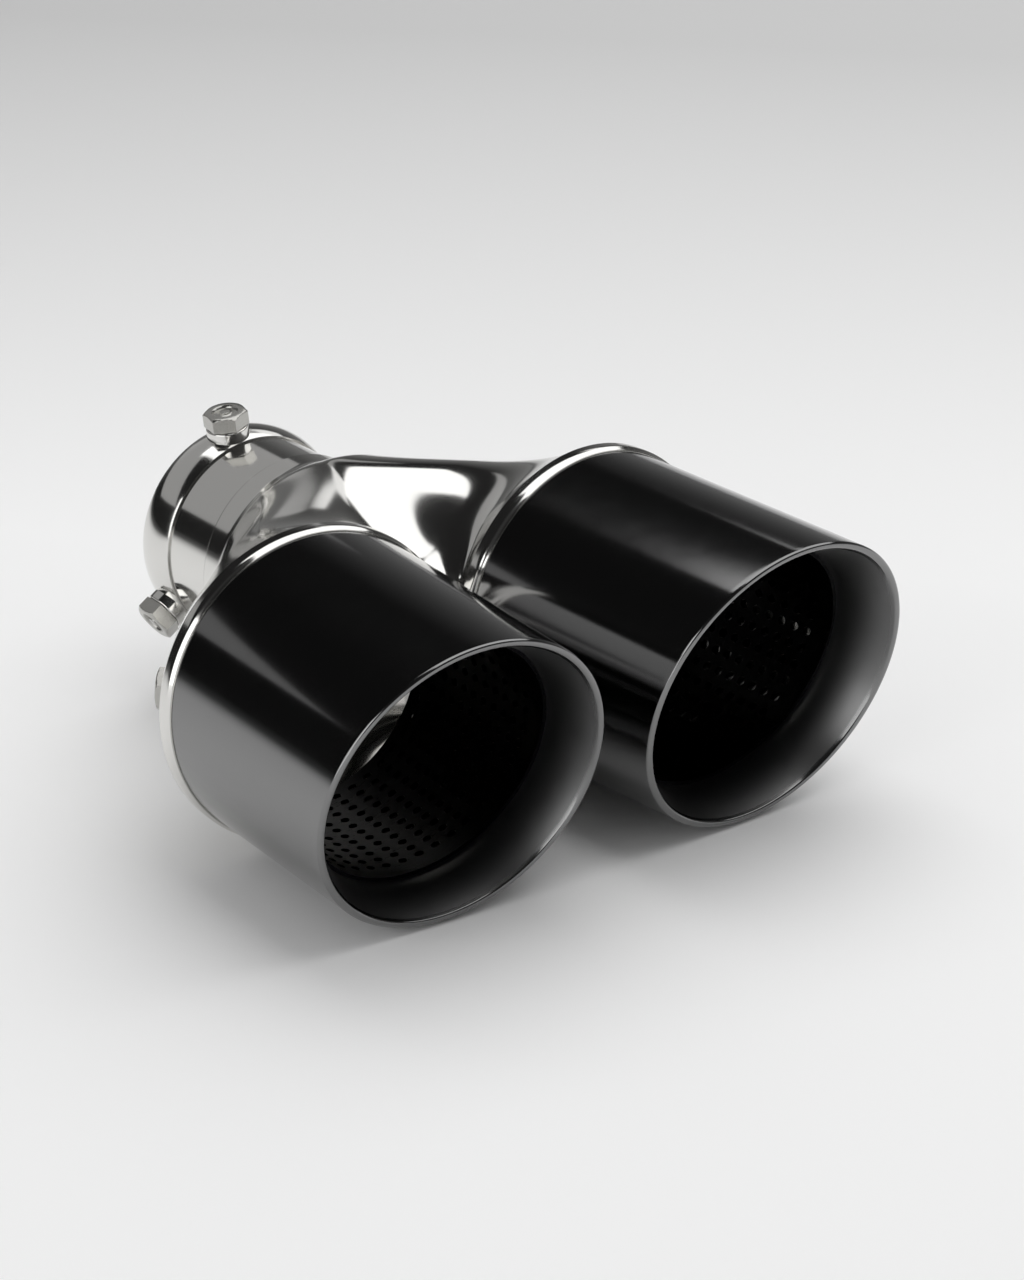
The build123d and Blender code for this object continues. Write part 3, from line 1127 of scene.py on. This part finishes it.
def studio_world():
    """Dark studio walls that the metal reflects, with a dim glow low behind on the right and in front."""
    world = bpy.data.worlds.new("Studio walls")
    world.use_nodes = True
    tree = world.node_tree
    tree.nodes.clear()
    place = node(tree, "ShaderNodeTexCoord", (-1100, 0))
    split = node(tree, "ShaderNodeSeparateXYZ", (-900, 0), Vector=place.outputs["Generated"])
    fades = []
    for row, (axis, start, end, first, last) in enumerate((LOW_GLOW, RIGHT_SIDE, FRONT_WALL)):
        fade = node(
            tree,
            "ShaderNodeMapRange",
            (-700, 200 - 200 * row),
            Value=split.outputs[axis],
            From_Min=start,
            From_Max=end,
            To_Min=first,
            To_Max=last,
        )
        fades.append(fade.outputs["Result"])
    low, right, front = fades
    walls = node(tree, "ShaderNodeMath", (-400, 0), {"operation": "MULTIPLY_ADD"}, i0=low, i1=right, i2=front)
    path = node(tree, "ShaderNodeLightPath", (-300, 300))
    strength = node(
        tree,
        "ShaderNodeMix",
        (-100, 0),
        Factor=path.outputs["Is Diffuse Ray"],
        i2=walls.outputs["Value"],
        i3=ROOM_FILL,
    )
    wall = node(tree, "ShaderNodeBackground", (100, 0), Color=(1, 1, 1, 1), Strength=strength.outputs[0])
    node(tree, "ShaderNodeOutputWorld", (300, 0), Surface=wall.outputs["Background"])
    bpy.context.scene.world = world


# Name, place, the point it faces, width and height in metres, and power in watts
LAMPS = (
    ("Overhead", (1.02, -0.1, 1.4), (1.02, -0.1, 0), 2.55, 2.2, 25.5),
    ("Right corner", (2.15, 1.4, 1.4), (2.15, 1.4, 0), 1.3, 0.8, 3.3),
    ("Left wall", (-1.2, -0.375, 0.4), (0, -0.375, 0.4), 1.15, 0.9, 5.8),
)
# A dim card close over the body, which only the metal mirrors
CARD = ("Grey card", (-0.075, 0.245, 0.12), (-0.075, 0.245, 0), 0.35, 0.41, 0.15)
GROUND_REACH = 6.0


def softbox(name, place, target, width, height, power):
    """Area lamp that faces a point and that the camera doesn't see."""
    data = bpy.data.lights.new(name, "AREA")
    data.shape = "RECTANGLE"
    data.size, data.size_y = width, height
    data.energy = power
    lamp = bpy.data.objects.new(name, data)
    lamp.location = place
    lamp.rotation_euler = (Vector(target) - Vector(place)).to_track_quat("-Z", "Y").to_euler()
    bpy.context.scene.collection.objects.link(lamp)
    lamp.visible_camera = False
    return lamp


CAMERA_AZIMUTH = radians(-36.91)
CAMERA_ELEVATION = radians(23.696)
CAMERA_DISTANCE = 1734.862 * MM
CAMERA_TARGET = Vector((16.417, -133.9, 0)) * MM
FOCAL_LENGTH = 193.36


def add_camera():
    """Camera at the photograph's angle."""
    level = cos(CAMERA_ELEVATION)
    back = Vector((sin(CAMERA_AZIMUTH) * level, -cos(CAMERA_AZIMUTH) * level, sin(CAMERA_ELEVATION)))
    data = bpy.data.cameras.new("Camera")
    data.lens = FOCAL_LENGTH
    data.sensor_width = 36
    data.sensor_fit = "HORIZONTAL"
    data.clip_end = 50
    camera = bpy.data.objects.new("Camera", data)
    camera.location = CAMERA_TARGET + back * CAMERA_DISTANCE
    camera.rotation_euler = (-back).to_track_quat("-Z", "Y").to_euler()
    bpy.context.scene.collection.objects.link(camera)
    bpy.context.scene.camera = camera


class EXHAUST_OT_stage(bpy.types.Operator):
    """Sets the floor, the studio walls, the softboxes and the camera"""

    bl_idname = "exhaust.stage"
    bl_label = "Studio"

    def execute(self, context):
        ground = CAD_BOX[0][2]
        turns = ((-1, -1), (1, -1), (1, 1), (-1, 1))
        corners = [(x * GROUND_REACH, y * GROUND_REACH, ground) for x, y in turns]
        mesh = bpy.data.meshes.new("floor")
        mesh.from_pydata(corners, [], [(0, 1, 2, 3)])
        mesh.materials.append(floor_finish())
        floor = bpy.data.objects.new("floor", mesh)
        context.scene.collection.objects.link(floor)
        studio_world()
        for lamp in LAMPS:
            softbox(*lamp)
        card = softbox(*CARD)
        card.visible_diffuse = False
        add_camera()
        context.scene.view_settings.view_transform = "Standard"
        return {"FINISHED"}


class EXHAUST_PT_panel(bpy.types.Panel):
    """Lists the pieces of the exhaust tip and its sizes"""

    bl_label = "Twin exhaust tip"
    bl_idname = "EXHAUST_PT_panel"
    bl_space_type = "VIEW_3D"
    bl_region_type = "UI"
    bl_category = "Exhaust"

    def draw(self, context):
        for operator in OPERATORS:
            self.layout.operator(operator.bl_idname)
        for group in ("exhaust_tip", "exhaust_body", "exhaust_screw", "exhaust_colours"):
            values = getattr(context.scene, group)
            box = self.layout.box()
            for key in values.__annotations__:
                box.prop(values, key)


OPERATORS = (
    EXHAUST_OT_shells,
    EXHAUST_OT_tubes,
    EXHAUST_OT_body,
    EXHAUST_OT_inlet,
    EXHAUST_OT_screws,
    EXHAUST_OT_stage,
)
GROUPS = (
    ("exhaust_tip", TipSizes),
    ("exhaust_body", BodySizes),
    ("exhaust_screw", ScrewSizes),
    ("exhaust_colours", Colours),
)


def register():
    for name, group in GROUPS:
        bpy.utils.register_class(group)
        setattr(bpy.types.Scene, name, bpy.props.PointerProperty(type=group))
    for operator in OPERATORS:
        bpy.utils.register_class(operator)
    bpy.utils.register_class(EXHAUST_PT_panel)


def unregister():
    bpy.utils.unregister_class(EXHAUST_PT_panel)
    for operator in reversed(OPERATORS):
        bpy.utils.unregister_class(operator)
    for name, group in reversed(GROUPS):
        delattr(bpy.types.Scene, name)
        bpy.utils.unregister_class(group)


def main():
    """Runs every operator in order."""
    register()
    for operator in OPERATORS:
        group, name = operator.bl_idname.split(".")
        getattr(getattr(bpy.ops, group), name)()


if __name__ == "__main__":
    main()
